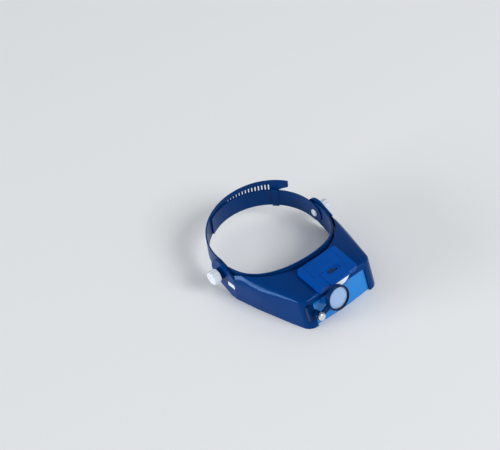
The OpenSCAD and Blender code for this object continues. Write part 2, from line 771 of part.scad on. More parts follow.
module lamp_leds() {
    color("#fdfdf6") for (s = [-1, 1]) face() translate([s * led_x, led_w, 2.35]) {
        cylinder(r = led_r, h = 2.4);
        translate([0, 0, 2.4]) intersection() {
            sphere(led_r);
            cylinder(r = led_r, h = led_r);
        }
    }
}

module circuit_board() {
    color("#2f6b3c") nose_block(nose_floor + 4 * seat, 1, 2.3, -lamp_wall - 6 * seat);
}

module switch_body() {
    color("#22252b") panel() difference() {
        block_at(switch_x, recess_l - 5, switch_y - 2.2, switch_y + 2.2, lamp_roof - 3, lamp_roof - seat);
        block_at(switch_x, recess_l - 8, switch_y - 1, switch_y + 1, lamp_roof - 2.4, far);
    }
}

// Slider with a ribbed grip, in the off position at the wearer's right end of its slot
module switch_slider() {
    floor_z = lamp_rise + nose_rise - 1.2;
    color("#9fb4cf") panel() translate([switch_x - switch_travel / 2, 0, 0]) {
        block(slider_stem, switch_y - 1 + seat, switch_y + 1 - seat, lamp_roof - 2.2, floor_z + 0.4);
        block(slider_l, switch_y - slider_w / 2, switch_y + slider_w / 2, floor_z + seat, floor_z + 0.9);
        for (i = [-1, 0, 1]) block_at(i * slider_l / 3, 0.9, switch_y - slider_w / 2,
            switch_y + slider_w / 2, floor_z + 0.8, floor_z + 1.5);
    }
}

// Two AAA cells side by side, with opposite ends forward
module cells() {
    color("#c9a227") for (k = [-1, 1]) {
        panel() translate([0, cell_y + k * cell_pitch / 2, cell_z]) rotate([0, k * 90, 0])
            translate([0, 0, -cell_l / 2]) {
            cylinder(r = cell_d / 2, h = cell_l - cell_nub);
            cylinder(r = 1.9, h = cell_l);
        }
    }
}

module cell_contacts() {
    color("#cfd3d8") for (s = [-1, 1], k = [-1, 1]) {
        panel() translate([s * (cell_l / 2 + seat + contact_t / 2), cell_y + k * cell_pitch / 2, cell_z])
            cube([contact_t, contact_w, contact_w], center = true);
    }
}

// Two screws that clamp the hood's top between the lamp's base and its cover
module lamp_screws() {
    color("#c8ccd0") for (s = [-1, 1]) panel() translate([s * lamp_screw_x, cell_y, -base_deep])
        cross_screw(lamp_screw_r, base_deep + 4);
}

// Headband

// Share of the way from the ear (0) to the middle of the forehead (1) sets the band's edges
function band_top(u) = band_top_ear + (band_top_front - band_top_ear) * pow(u, 3) - 2 * sin(180 * u);
function band_low(u) = -ear_r + 0.6 + (ear_r - 0.6 - band_low_front) * u * u - temple_drop * sin(180 * u);

// Upright post with the plan of the forehead loop: round at the front, straight at the ears
module band_loop(r, h) {
    translate([0, -loop_front, -h]) cylinder(r = r, h = 2 * h);
    block(2 * r, -loop_front, loop_front + 2 * ear_r, -h, h);
}

module forehead_band() {
    color("#0b3f8a") headband() difference() {
        intersection() {
            difference() {
                band_loop(ear_out, 60);
                band_loop(ear_in, 61);
            }
            side_extrude(-far, far) polygon(concat(
                [for (a = [80 : -8 : -80]) [ear_r * cos(a), ear_r * sin(a)]],
                [for (i = [0 : band_steps]) [-band_reach * i / band_steps, band_low(i / band_steps)]],
                [[-band_reach - 1, band_low(1)], [-band_reach - 1, band_top(1)]],
                [for (i = [band_steps : -1 : 0]) [-band_reach * i / band_steps, band_top(i / band_steps)]]));
        }
        block(2 * ear_in + seat, -ear_r - 0.3, far, -far, far);
        bolt_bores();
    }
}

// Upright post with the plan of the rear loop: straight at the ears, round at the back
module strap_post(r, h) {
    translate([layer, loop_back, -h]) cylinder(r = r, h = 2 * h);
    translate([layer - r, -2 * ear_r, -h]) cube([2 * r, 2 * ear_r + loop_back, 2 * h]);
}

// Side view of a strap: a round end at the pivot, then level up to the given top
module strap_outline(top) {
    polygon(concat([for (a = [100 : 8 : 260]) strap_end_r * [cos(a), sin(a)]],
        [[strap_end_y, strap_lo], [far, strap_lo], [far, top], [strap_end_y + 1, top],
        [strap_end_y - 1, strap_hi]]));
}

// Strap as a closed loop of the given inner radius
module strap_loop(r, top) {
    intersection() {
        difference() {
            strap_post(r + strap_t, 60);
            strap_post(r, 61);
        }
        side_extrude(-far, far) strap_outline(top);
    }
}

// Wedge round the middle of the rear arc, from angle a0 to a1
module wedge(a0, a1) {
    translate([layer, loop_back, -far]) linear_extrude(2 * far)
        polygon(concat([[0, 0]], [for (a = [a0 : (a1 - a0) / 4 : a1 + seat]) far * [cos(a), sin(a)]]));
}

module bolt_bores() { rotate([0, 90, 0]) cylinder(r = bolt_r + seat, h = far, center = true); }

// Place on the back's arc, x outwards
module on_arc(a, r) { translate([layer, loop_back, 0]) rotate([0, 0, a]) translate([r, 0, 0]) children(); }

// Inner strap, with a stud that drops into one of the other strap's slots
module strap_left() {
    color("#0b3f8a") headband() rotate([strap_tilt, 0, 0]) {
        difference() {
            strap_loop(inner_r, strap_hi);
            wedge(inner_end, 360 + ahead);
            bolt_bores();
        }
        on_arc(slot_first + stud_slot * slot_step, inner_r + strap_t - stud_fit)
            translate([0, 0, strap_hi - stud_down]) rotate([0, 90, 0])
            cylinder(r = slot_w / 2 - stud_fit, h = strap_gap + strap_t + 1);
    }
}

// Front view of what is cut from the slotted strap: all above its rolled top, and a long taper under it
module tongue_cuts() {
    end_x = outer_r * cos(buckle_a);
    rotate([90, 0, 0]) translate([0, 0, -far]) linear_extrude(2 * far) {
        polygon([[-far, tongue_top(-far)], [far, tongue_top(far)], [far, far], [-far, far]]);
        polygon([[-tongue_low_x, tongue_low(-tongue_low_x)], [end_x - 1, tongue_low(end_x - 1)],
            [end_x + 2, strap_hi - tongue_turn_z], [end_x + tongue_tip_x, strap_hi + tongue_tip_z],
            [far, strap_hi + tongue_tip_z], [far, -far], [-tongue_low_x, -far]]);
    }
}

// Outer strap, which runs on behind the inner one with a row of slots
module strap_right() {
    color("#0b3f8a") headband() rotate([strap_tilt, 0, 0]) difference() {
        strap_loop(outer_r, strap_hi + tongue_tall);
        wedge(ahead, tongue_end);
        tongue_cuts();
        for (i = [0 : slot_count - 1]) {
            a = slot_first + i * slot_step;
            low = tongue_top(outer_r * cos(a)) - slot_edge - slot_l;
            on_arc(a, outer_r - 1) translate([0, -slot_w / 2, low]) cube([strap_t + 2, slot_w, slot_l]);
        }
        bolt_bores();
    }
}

// Clip that is hooked over the inner strap and guides the slotted one behind it
module buckle() {
    r0 = inner_r - buckle_fit;
    r1 = inner_r + strap_t;
    r2 = outer_r + strap_t + buckle_fit;
    z0 = strap_lo - buckle_fit;
    z1 = strap_hi + buckle_fit;
    w = buckle_wall;
    color("#0b3f8a") headband() rotate([strap_tilt, 0, 0]) translate([layer, loop_back, 0])
        rotate([0, 0, buckle_a - buckle_span / 2]) rotate_extrude(angle = buckle_span)
        polygon([[r0 - w, z0 - w], [r2 + w, z0 - w], [r2 + w, z1 + buckle_top], [r2, z1 + buckle_top],
            [r2, z0], [r0, z0], [r0, z1], [r1, z1], [r1, z1 + w], [r0 - w, z1 + w]]);
}

// Pivots

// Bolt with a round white head on the inside, keyed to the strap
module pivot_bolt(side) {
    color("#eef1f4") pivot(side) {
        translate([0, 0, strap_in - bolt_head_t])
            cylinder(r1 = bolt_head_r - bolt_dome, r2 = bolt_head_r, h = bolt_head_t - bolt_rim_t);
        translate([0, 0, strap_in - bolt_rim_t]) cylinder(r = bolt_head_r, h = bolt_rim_t);
        translate([0, 0, strap_in - bolt_rim_t / 2])
            cylinder(r = bolt_r, h = knob_in + knob_l - bolt_short - strap_in);
    }
}
module pivot_bolt_right() { pivot_bolt(-1); }
module pivot_bolt_left() { pivot_bolt(1); }

module friction_washer(side) {
    color("#3a3f47") pivot(side) translate([0, 0, ear_out]) difference() {
        cylinder(r = friction_r, h = washer_t);
        translate([0, 0, -1]) cylinder(r = bolt_r + seat, h = 3);
    }
}
module friction_washer_right() { friction_washer(-1); }
module friction_washer_left() { friction_washer(1); }

// Spacer on an arm, with a ring, a groove and a smaller ring
module knob_spacer(side) {
    low = spacer_l * 0.4;
    high = spacer_l * 0.55;
    color("#0b3f8a") pivot(side) translate([0, 0, arm_out + seat]) difference() {
        rotate_extrude() polygon([[0, 0], [spacer_r, 0], [spacer_r, low], [spacer_r - 2 * spacer_step, low],
            [spacer_r - 2 * spacer_step, high], [spacer_r - spacer_step, high],
            [spacer_r - spacer_step, spacer_l], [0, spacer_l]]);
        translate([0, 0, -1]) cylinder(r = bolt_r + run_fit, h = spacer_l + 2);
    }
}
module knob_spacer_right() { knob_spacer(-1); }
module knob_spacer_left() { knob_spacer(1); }

// Lobed knob with a dimple in its face
module knob(side) {
    color("#f1f2f2") pivot(side) translate([0, 0, knob_in]) difference() {
        rotate_extrude() union() {
            translate([0, knob_edge]) square([knob_r, knob_l - 2 * knob_edge]);
            square([knob_r - knob_edge, knob_l]);
            for (z = [knob_edge, knob_l - knob_edge]) translate([knob_r - knob_edge, z]) circle(knob_edge);
        }
        for (i = [1 : knob_lobes]) rotate([0, 0, i * 360 / knob_lobes])
            translate([knob_r + lobe_out, 0, -1]) cylinder(r = lobe_r, h = knob_l + 2);
        translate([0, 0, -1]) cylinder(r = insert_r, h = insert_l + 1);
        translate([0, 0, knob_l - dimple_t])
            cylinder(r1 = dimple_r - dimple_t, r2 = dimple_r, h = dimple_t + seat);
    }
}
module knob_right() { knob(-1); }
module knob_left() { knob(1); }

// Brass thread in a knob
module knob_insert(side) {
    color("#c9a44c") pivot(side) translate([0, 0, knob_in + 0.2]) difference() {
        cylinder(r = insert_r, h = insert_l - 0.2);
        translate([0, 0, -1]) cylinder(r = bolt_r + run_fit, h = insert_l + 2);
    }
}
module knob_insert_right() { knob_insert(-1); }
module knob_insert_left() { knob_insert(1); }

visor_hood();
slot_plug_right();
slot_plug_left();
main_lens();
lens_frame();
lens_screws();
flip_frame();
flip_lens();
loupe_bracket();
loupe_screw();
loupe_washer();
loupe_arm();
loupe_lens();
loupe_retainer();
lamp_base();
lamp_cover();
battery_door();
lamp_window();
reflector();
lamp_leds();
circuit_board();
switch_body();
switch_slider();
cells();
cell_contacts();
lamp_screws();
forehead_band();
strap_right();
strap_left();
buckle();
pivot_bolt_right();
pivot_bolt_left();
friction_washer_right();
friction_washer_left();
knob_spacer_right();
knob_spacer_left();
knob_right();
knob_left();
knob_insert_right();
knob_insert_left();
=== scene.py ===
"""Looks of a head visor magnifier: blue hood, lens window, swing loupe, lamp and headband."""

import json
import math

import bmesh
import bpy
from mathutils import Matrix, Vector
from mathutils.geometry import intersect_point_line
from mathutils.kdtree import KDTree


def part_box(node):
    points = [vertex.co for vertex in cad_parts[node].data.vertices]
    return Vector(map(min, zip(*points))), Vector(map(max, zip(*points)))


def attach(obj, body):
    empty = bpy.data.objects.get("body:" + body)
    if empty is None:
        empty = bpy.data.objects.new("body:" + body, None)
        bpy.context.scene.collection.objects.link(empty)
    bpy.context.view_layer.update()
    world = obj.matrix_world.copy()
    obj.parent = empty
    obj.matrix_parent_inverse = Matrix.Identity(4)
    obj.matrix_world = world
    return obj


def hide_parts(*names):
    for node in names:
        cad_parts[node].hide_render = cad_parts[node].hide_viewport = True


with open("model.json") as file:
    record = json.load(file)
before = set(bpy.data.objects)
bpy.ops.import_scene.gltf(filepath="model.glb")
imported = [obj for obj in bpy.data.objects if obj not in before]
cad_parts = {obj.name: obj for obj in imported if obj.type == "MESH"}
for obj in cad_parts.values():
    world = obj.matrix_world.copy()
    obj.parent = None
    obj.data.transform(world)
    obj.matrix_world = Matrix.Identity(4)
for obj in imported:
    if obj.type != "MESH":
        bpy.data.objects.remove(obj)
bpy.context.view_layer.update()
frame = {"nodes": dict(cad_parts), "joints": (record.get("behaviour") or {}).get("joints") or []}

# View
# The visor lies on its rim and is seen from above its front right corner, the loupe and lens
# window turned to the viewer, with a long lens held a little askew.
AIM_MIDDLE = Vector((0.0, 0.0, 0.025))
VIEW_AZIMUTH = math.radians(-34.53)
VIEW_ELEVATION = math.radians(41.52)
VIEW_ROLL = math.radians(-10.06)
VIEW_DISTANCE = 1.404
AIM_RIGHT = -0.0408
AIM_UP = 0.0422
PICTURE_WIDTH = 500
FOCAL_PIXELS = 1099
SENSOR_WIDTH = 36.0
NEAREST_SEEN = 0.01

towards_camera = Vector((
    math.sin(VIEW_AZIMUTH) * math.cos(VIEW_ELEVATION),
    -math.cos(VIEW_AZIMUTH) * math.cos(VIEW_ELEVATION),
    math.sin(VIEW_ELEVATION),
))
camera_place = AIM_MIDDLE + VIEW_DISTANCE * towards_camera


def level_axes(forward):
    right = forward.cross(Vector((0, 0, 1))).normalized()
    return right, right.cross(forward)


side, top = level_axes(-towards_camera)
forward = (AIM_MIDDLE + AIM_RIGHT * side + AIM_UP * top - camera_place).normalized()
side, top = level_axes(forward)
roll = Matrix.Rotation(-VIEW_ROLL, 3, forward)
side, top = roll @ side, roll @ top

camera_data = bpy.data.cameras.new("photo_camera")
camera_data.sensor_fit = "HORIZONTAL"
camera_data.sensor_width = SENSOR_WIDTH
camera_data.lens = FOCAL_PIXELS / PICTURE_WIDTH * SENSOR_WIDTH
camera_data.clip_start = NEAREST_SEEN
camera = bpy.data.objects.new("photo_camera", camera_data)
camera.matrix_world = Matrix((
    (side.x, top.x, -forward.x, camera_place.x),
    (side.y, top.y, -forward.y, camera_place.y),
    (side.z, top.z, -forward.z, camera_place.z),
    (0, 0, 0, 1),
))
bpy.context.scene.collection.objects.link(camera)
bpy.context.scene.camera = camera
bpy.context.scene.view_settings.view_transform = "Standard"

# Floor and light
# A wide pale sheet of studio board under the visor, lit by a large, low and distant soft box on
# the wearer's right, which draws the pale line along the hood's ridge, by a smaller one in front
# and by an even white room.
FLOOR_HALF = 25.0
FLOOR_DROP = 0.0002
FLOOR_ROUGHNESS = 0.75
FLOOR_COLOUR = (0.95, 0.95, 0.95, 1)
ROOM_COLOUR = (0.9, 0.95, 1.0, 1)
ROOM_STRENGTH = 0.46
SOFT_BOXES = [
    ("right_soft_box", (-10.62, 3.96, 1.92), (7.2, 3.0), 900),
    ("front_soft_box", (2.0, -6.0, 4.0), (3.2, 3.2), 288),
]

floor_mesh = bpy.data.meshes.new("floor")
floor_mesh.from_pydata(
    [(-FLOOR_HALF, -FLOOR_HALF, 0), (FLOOR_HALF, -FLOOR_HALF, 0),
     (FLOOR_HALF, FLOOR_HALF, 0), (-FLOOR_HALF, FLOOR_HALF, 0)], [], [(0, 1, 2, 3)])
floor = bpy.data.objects.new("floor", floor_mesh)
floor.location.z = -FLOOR_DROP
bpy.context.scene.collection.objects.link(floor)
floor_finish = bpy.data.materials.new("studio_board")
floor_finish.use_nodes = True
board = floor_finish.node_tree.nodes["Principled BSDF"]
board.inputs["Base Color"].default_value = FLOOR_COLOUR
board.inputs["Roughness"].default_value = FLOOR_ROUGHNESS
floor_mesh.materials.append(floor_finish)

room = bpy.data.worlds.new("room")
room.use_nodes = True
room.node_tree.nodes["Background"].inputs["Color"].default_value = ROOM_COLOUR
room.node_tree.nodes["Background"].inputs["Strength"].default_value = ROOM_STRENGTH
bpy.context.scene.world = room

for name, place, size, power in SOFT_BOXES:
    lamp_data = bpy.data.lights.new(name, "AREA")
    lamp_data.shape = "RECTANGLE"
    lamp_data.size, lamp_data.size_y = size
    lamp_data.energy = power
    soft_box = bpy.data.objects.new(name, lamp_data)
    soft_box.location = place
    soft_box.rotation_euler = (AIM_MIDDLE - Vector(place)).to_track_quat("-Z", "Y").to_euler()
    bpy.context.scene.collection.objects.link(soft_box)

# Visor hood
# The moulded shell that shades the eyes: a lens window in front, a head-shaped rim behind and
# an arm on each side that ends in a round pivot. Blue ABS from one mould, satin outside.
WELD_GAP = 2e-6
FLAT_TURN = math.radians(0.6)
SHARP_TURN = math.radians(32)
EVEN_WEIGHT = 50


def round_edges(piece, width, segments=2):
    """Gives a piece its rounded moulding edges and even shading over its flats."""
    edge = piece.modifiers.new("edge_round", "BEVEL")
    edge.width = width
    edge.segments = segments
    edge.limit_method = "ANGLE"
    edge.angle_limit = SHARP_TURN
    edge.use_clamp_overlap = True
    shade = piece.modifiers.new("even_shading", "WEIGHTED_NORMAL")
    shade.weight = EVEN_WEIGHT


def soften(node, width, segments=2):
    """Rounds the edges of a carried-over piece, without touching its own mesh."""
    piece = frame["nodes"][node]
    for face in piece.data.polygons:
        face.use_smooth = True
    weld = piece.modifiers.new("weld", "WELD")
    weld.merge_threshold = WELD_GAP
    flat = piece.modifiers.new("flat_faces", "DECIMATE")
    flat.decimate_type = "DISSOLVE"
    flat.angle_limit = FLAT_TURN
    round_edges(piece, width, segments)


def link(tree, source, out_name, target, in_name):
    tree.links.new(source.outputs[out_name], target.inputs[in_name])


SKIN_SIZES = {"Grain Size": 0.0006, "Gloss": 0.3, "Gloss Change": 0.1, "Scuffs": 0.3}
CLOUD_DENSITY = 38.0
SCRATCH_TURN = (0.4, 0.2, 0.7)
SCRATCH_DENSITY = (1100, 60, 260)
SCRATCH_FROM, SCRATCH_TO = 0.62, 0.74
SCUFF_ROUGHNESS = 0.25
SCUFF_DEPTH = -0.4
SHADE_FROM, SHADE_TO = 0.86, 1.14


def moulded_skin_group():
    """Mould grain, slow gloss changes and handling scuffs, as a height and a roughness."""
    group = bpy.data.node_groups.new("moulded_skin", "ShaderNodeTree")
    socket = group.interface.new_socket
    for name, value in SKIN_SIZES.items():
        socket(name, in_out="INPUT", socket_type="NodeSocketFloat").default_value = value
    for name in ("Roughness", "Height", "Shade"):
        socket(name, in_out="OUTPUT", socket_type="NodeSocketFloat")
    nodes = group.nodes
    given = nodes.new("NodeGroupInput")
    result = nodes.new("NodeGroupOutput")
    place = nodes.new("ShaderNodeTexCoord")
    density = nodes.new("ShaderNodeMath")
    density.operation = "DIVIDE"
    density.inputs[0].default_value = 1.0
    group.links.new(given.outputs["Grain Size"], density.inputs[1])
    grain = nodes.new("ShaderNodeTexNoise")
    grain.inputs["Detail"].default_value = 3.0
    link(group, place, "Object", grain, "Vector")
    group.links.new(density.outputs[0], grain.inputs["Scale"])
    cloud = nodes.new("ShaderNodeTexNoise")
    cloud.inputs["Scale"].default_value = CLOUD_DENSITY
    cloud.inputs["Detail"].default_value = 4.0
    link(group, place, "Object", cloud, "Vector")
    stretch = nodes.new("ShaderNodeMapping")
    stretch.inputs["Rotation"].default_value = SCRATCH_TURN
    stretch.inputs["Scale"].default_value = SCRATCH_DENSITY
    link(group, place, "Object", stretch, "Vector")
    scratch = nodes.new("ShaderNodeTexNoise")
    scratch.inputs["Scale"].default_value = 1.0
    scratch.inputs["Detail"].default_value = 2.0
    link(group, stretch, "Vector", scratch, "Vector")
    scuff = nodes.new("ShaderNodeMapRange")
    scuff.inputs["From Min"].default_value = SCRATCH_FROM
    scuff.inputs["From Max"].default_value = SCRATCH_TO
    link(group, scratch, "Fac", scuff, "Value")
    scuff_amount = nodes.new("ShaderNodeMath")
    scuff_amount.operation = "MULTIPLY"
    group.links.new(scuff.outputs["Result"], scuff_amount.inputs[0])
    group.links.new(given.outputs["Scuffs"], scuff_amount.inputs[1])
    swing = nodes.new("ShaderNodeMath")
    swing.operation = "MULTIPLY_ADD"
    group.links.new(cloud.outputs["Fac"], swing.inputs[0])
    group.links.new(given.outputs["Gloss Change"], swing.inputs[1])
    group.links.new(given.outputs["Gloss"], swing.inputs[2])
    rough = nodes.new("ShaderNodeMath")
    rough.operation = "MULTIPLY_ADD"
    rough.use_clamp = True
    group.links.new(scuff_amount.outputs[0], rough.inputs[0])
    rough.inputs[1].default_value = SCUFF_ROUGHNESS
    group.links.new(swing.outputs[0], rough.inputs[2])
    group.links.new(rough.outputs[0], result.inputs["Roughness"])
    height = nodes.new("ShaderNodeMath")
    height.operation = "MULTIPLY_ADD"
    group.links.new(scuff_amount.outputs[0], height.inputs[0])
    height.inputs[1].default_value = SCUFF_DEPTH
    group.links.new(grain.outputs["Fac"], height.inputs[2])
    group.links.new(height.outputs[0], result.inputs["Height"])
    shade = nodes.new("ShaderNodeMapRange")
    shade.inputs["To Min"].default_value = SHADE_FROM
    shade.inputs["To Max"].default_value = SHADE_TO
    link(group, cloud, "Fac", shade, "Value")
    group.links.new(shade.outputs["Result"], result.inputs["Shade"])
    return group


moulded_skin = moulded_skin_group()
ABS_IOR = 1.53
ABS_SHINE = 0.2
MOULD_GRAIN = 0.0006
MOULD_GRAIN_DEPTH = 0.00002
GRAIN_STRENGTH = 0.6


def add_skin(tree, grain, gloss, gloss_change, scuffs):
    """Adds the moulded skin to a finish, with the finish's own sizes."""
    skin = tree.nodes.new("ShaderNodeGroup")
    skin.node_tree = moulded_skin
    skin.inputs["Grain Size"].default_value = grain
    skin.inputs["Gloss"].default_value = gloss
    skin.inputs["Gloss Change"].default_value = gloss_change
    skin.inputs["Scuffs"].default_value = scuffs
    link(tree, skin, "Roughness", tree.nodes["Principled BSDF"], "Roughness")
    return skin


def add_colour(tree, skin, colour):
    """Gives a finish its colour, with the skin's slow changes of shade."""
    tint = tree.nodes.new("ShaderNodeMix")
    tint.data_type = "RGBA"
    tint.blend_type = "MULTIPLY"
    tint.inputs["Factor"].default_value = 1.0
    tint.inputs["A"].default_value = (*colour, 1)
    tree.links.new(skin.outputs["Shade"], tint.inputs["B"])
    link(tree, tint, "Result", tree.nodes["Principled BSDF"], "Base Color")


def add_bump(tree, skin, depth, strength):
    """Lets the skin's height show in the light."""
    bump = tree.nodes.new("ShaderNodeBump")
    bump.inputs["Distance"].default_value = depth
    bump.inputs["Strength"].default_value = strength
    link(tree, skin, "Height", bump, "Height")
    link(tree, bump, "Normal", tree.nodes["Principled BSDF"], "Normal")


def moulding(name, colour, gloss=0.3, gloss_change=0.1, scuffs=0.3, shine_tint=(1, 1, 1)):
    """Injection-moulded plastic of one colour, with the mould's grain in its surface."""
    finish = bpy.data.materials.new(name)
    finish.use_nodes = True
    tree = finish.node_tree
    shader = tree.nodes["Principled BSDF"]
    skin = add_skin(tree, MOULD_GRAIN, gloss, gloss_change, scuffs)
    add_colour(tree, skin, colour)
    add_bump(tree, skin, MOULD_GRAIN_DEPTH, GRAIN_STRENGTH)
    shader.inputs["IOR"].default_value = ABS_IOR
    shader.inputs["Specular IOR Level"].default_value = ABS_SHINE
    shader.inputs["Specular Tint"].default_value = (*shine_tint, 1)
    return finish


def dress(finish, *nodes):
    """Gives carried-over pieces their finish."""
    for node in nodes:
        piece = frame["nodes"][node]
        piece.data.materials.clear()
        piece.data.materials.append(finish)


HOOD_BLUE = (0.0003, 0.033, 0.165)
BLUE_SHINE = (0.2, 0.5, 1.0)
hood_plastic = moulding("hood_blue_plastic", HOOD_BLUE, gloss=0.1, gloss_change=0.08,
                        shine_tint=BLUE_SHINE)
dress(hood_plastic, "visor_hood")

RIDGE_LINE = [Vector(point) for point in (
    (-0.0800, -0.0030, 0.0350), (-0.0737, -0.0300, 0.0364), (-0.0652, -0.0600, 0.0374),
    (-0.0602, -0.0750, 0.0379))]
RIDGE_REACH = 0.012
RIDGE_CELL = 0.0016
CELL_GROWTH = 0.5
CELL_ROUNDS = 9
RIDGE_PASSES = 60
PASS_SHARE = 0.5
EDGE_GUARD = 0.004
SKIN_TURN = math.radians(30)
UPWARDS = 0.3
UPWARDS_WORTH = 0.01
INSIDE, OUTSIDE = 0, 1


def ridge_gap(point):
    """Distance from a point to the ridge line on its own side of the hood."""
    place = Vector((-abs(point.x), point.y, point.z))
    gaps = []
    for start, end in zip(RIDGE_LINE, RIDGE_LINE[1:]):
        foot, share = intersect_point_line(place, start, end)
        foot = start if share < 0 else end if share > 1 else foot
        gaps.append((place - foot).length)
    return min(gaps)


def fade(share):
    """Eases a share in and out between 0 and 1."""
    share = min(max(share, 0), 1)
    return share * share * (3 - 2 * share)


def mark_outside(shell):
    """Marks the outer skin: all that is reached from the ridge without crossing a sharp edge."""
    first = min((face for face in shell.faces if face.normal.z > UPWARDS), key=lambda face: (
        ridge_gap(face.calc_center_median()) - UPWARDS_WORTH * face.normal.z))
    open_faces = [first]
    first.material_index = OUTSIDE
    while open_faces:
        face = open_faces.pop()
        for edge in face.edges:
            if edge.calc_face_angle(math.pi) > SKIN_TURN:
                continue
            for neighbour in edge.link_faces:
                if neighbour.material_index != OUTSIDE:
                    neighbour.material_index = OUTSIDE
                    open_faces.append(neighbour)


def is_outside(edge):
    return all(face.material_index == OUTSIDE for face in edge.link_faces)


def is_long(edge):
    """Cells are small along the ridge and grow with the distance from it."""
    middle = (edge.verts[0].co + edge.verts[1].co) / 2
    return edge.calc_length() > RIDGE_CELL + CELL_GROWTH * ridge_gap(middle)


def halve(edge):
    """Halves an edge and the triangle on each side of it."""
    faces = list(edge.link_faces)
    middle = bmesh.utils.edge_split(edge, edge.verts[0], 0.5)[1]
    for face in faces:
        loop = next(loop for loop in face.loops if loop.vert == middle)
        bmesh.utils.face_split(face, middle, loop.link_loop_next.link_loop_next.vert)


def sharp_edge_points(shell):
    """Points along the edges of the outer skin, in a tree that finds the nearest one."""
    guards = []
    for edge in shell.edges:
        if any(face.material_index == OUTSIDE for face in edge.link_faces) and not is_outside(edge):
            start, end = (vert.co for vert in edge.verts)
            steps = 1 + int(edge.calc_length() / RIDGE_CELL)
            guards += [start.lerp(end, step / steps) for step in range(steps + 1)]
    tree = KDTree(len(guards))
    for index, point in enumerate(guards):
        tree.insert(point, index)
    tree.balance()
    return tree


def round_ridge(shell):
    """Turns the flats along the ridge into one soft crest, on the outer skin alone."""
    mark_outside(shell)
    outside = [face for face in shell.faces if face.material_index == OUTSIDE]
    bmesh.ops.triangulate(shell, faces=outside)
    for _ in range(CELL_ROUNDS):
        long_edges = [edge for edge in shell.edges if is_outside(edge) and is_long(edge)]
        for edge in sorted(long_edges, key=lambda edge: -edge.calc_length()):
            halve(edge)
    sharp_edges = sharp_edge_points(shell)
    moving = {}
    for vert in shell.verts:
        if all(face.material_index == OUTSIDE for face in vert.link_faces):
            edge_gap = sharp_edges.find(vert.co)[2]
            share = fade(1 - ridge_gap(vert.co) / RIDGE_REACH) * fade(edge_gap / EDGE_GUARD)
            if share > 0:
                moving[vert] = share * PASS_SHARE
    for _ in range(RIDGE_PASSES):
        goals = {vert: sum((edge.other_vert(vert).co for edge in vert.link_edges), Vector())
                 / len(vert.link_edges) for vert in moving}
        for vert, share in moving.items():
            vert.co = vert.co.lerp(goals[vert], share)
    for face in shell.faces:
        face.material_index = INSIDE
        face.smooth = True


shell = bmesh.new()
shell.from_mesh(frame["nodes"]["visor_hood"].data)
bmesh.ops.remove_doubles(shell, verts=shell.verts, dist=WELD_GAP)
bmesh.ops.dissolve_limit(shell, angle_limit=FLAT_TURN, verts=shell.verts, edges=shell.edges)
round_ridge(shell)
hood_mesh = bpy.data.meshes.new("hood_shell")
shell.to_mesh(hood_mesh)
shell.free()
hood_mesh.materials.append(hood_plastic)
hood_shell = bpy.data.objects.new("hood_shell", hood_mesh)
bpy.context.scene.collection.objects.link(hood_shell)
round_edges(hood_shell, width=0.0007)
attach(hood_shell, "visor")
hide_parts("visor_hood")

# Slot plugs
# A white plug in the slot of each arm of the hood is painted light: it stands in for the pale
# backdrop seen through the open slot, and shares the knobs' white plastic.
KNOB_AND_SLOT_LIGHT_WHITE = (0.7, 0.75, 0.82)
knob_plastic_and_painted_slot_light = moulding("white_knob_plastic_and_painted_slot_light", KNOB_AND_SLOT_LIGHT_WHITE, gloss=0.28)
soften("slot_plug_right", width=0.0004)
soften("slot_plug_left", width=0.0004)
# The plugs' white is painted light from the backdrop behind the slots; the knobs' white is their
# own.
dress(knob_plastic_and_painted_slot_light, "slot_plug_right", "slot_plug_left")

# Main lens
# The wide magnifying lens behind the window: cast acrylic, flat behind and bulged in front,
# with a ground edge that sits in its frame.
RIPPLE_SIZE = 0.02
RIPPLE_GLOSS_CHANGE = 0.03
RIPPLE_DEPTH = 0.0001
RIPPLE_STRENGTH = 0.15
WIPE_MARKS = 0.08


def clear_plastic(name, colour, clear=1.0, ior=1.49, roughness=0.02):
    """Polished optical plastic, clear or milky, with faint ripples and fine wipe marks."""
    finish = bpy.data.materials.new(name)
    finish.use_nodes = True
    tree = finish.node_tree
    shader = tree.nodes["Principled BSDF"]
    shader.inputs["Base Color"].default_value = (*colour, 1)
    shader.inputs["Transmission Weight"].default_value = clear
    shader.inputs["IOR"].default_value = ior
    skin = add_skin(tree, RIPPLE_SIZE, roughness, RIPPLE_GLOSS_CHANGE, WIPE_MARKS)
    add_bump(tree, skin, RIPPLE_DEPTH, RIPPLE_STRENGTH)
    return finish


LENS_CYAN = (0.01, 0.36, 1.0)
lens_plastic = clear_plastic("lens_acrylic", LENS_CYAN, clear=0.4)
soften("main_lens", width=0.0003)
dress(lens_plastic, "main_lens")

# Lens frame and its screws
# A dark moulded frame behind the window that clamps the lens, held on four bosses by small
# plated screws, with two lugs for the flip-down lens.
FRAME_BLUE = (0.0004, 0.022, 0.1)
frame_plastic = moulding("frame_dark_plastic", FRAME_BLUE, gloss=0.34, shine_tint=BLUE_SHINE)
soften("lens_frame", width=0.0003)
dress(frame_plastic, "lens_frame")


TURNING_MARKS = 0.0004
PLATE_GLOSS_CHANGE = 0.12
PLATE_SCUFFS = 0.5


def plated_steel(name, colour, gloss):
    """Plated metal with fine turning and handling marks."""
    finish = bpy.data.materials.new(name)
    finish.use_nodes = True
    tree = finish.node_tree
    tree.nodes["Principled BSDF"].inputs["Metallic"].default_value = 1.0
    add_colour(tree, add_skin(tree, TURNING_MARKS, gloss, PLATE_GLOSS_CHANGE, PLATE_SCUFFS), colour)
    return finish


screw_steel = plated_steel("zinc_screw_steel", (0.6, 0.61, 0.63), 0.28)
soften("lens_screws", width=0.0001)
dress(screw_steel, "lens_screws")

# Flip-down lens
# A second acrylic lens in a slim moulded frame, hinged by pins on the lens frame's lugs and
# stowed flat under the top.
flip_acrylic = clear_plastic("flip_acrylic", (0.72, 0.92, 0.97))
soften("flip_frame", width=0.0003)
soften("flip_lens", width=0.0002)
dress(frame_plastic, "flip_frame")
dress(flip_acrylic, "flip_lens")

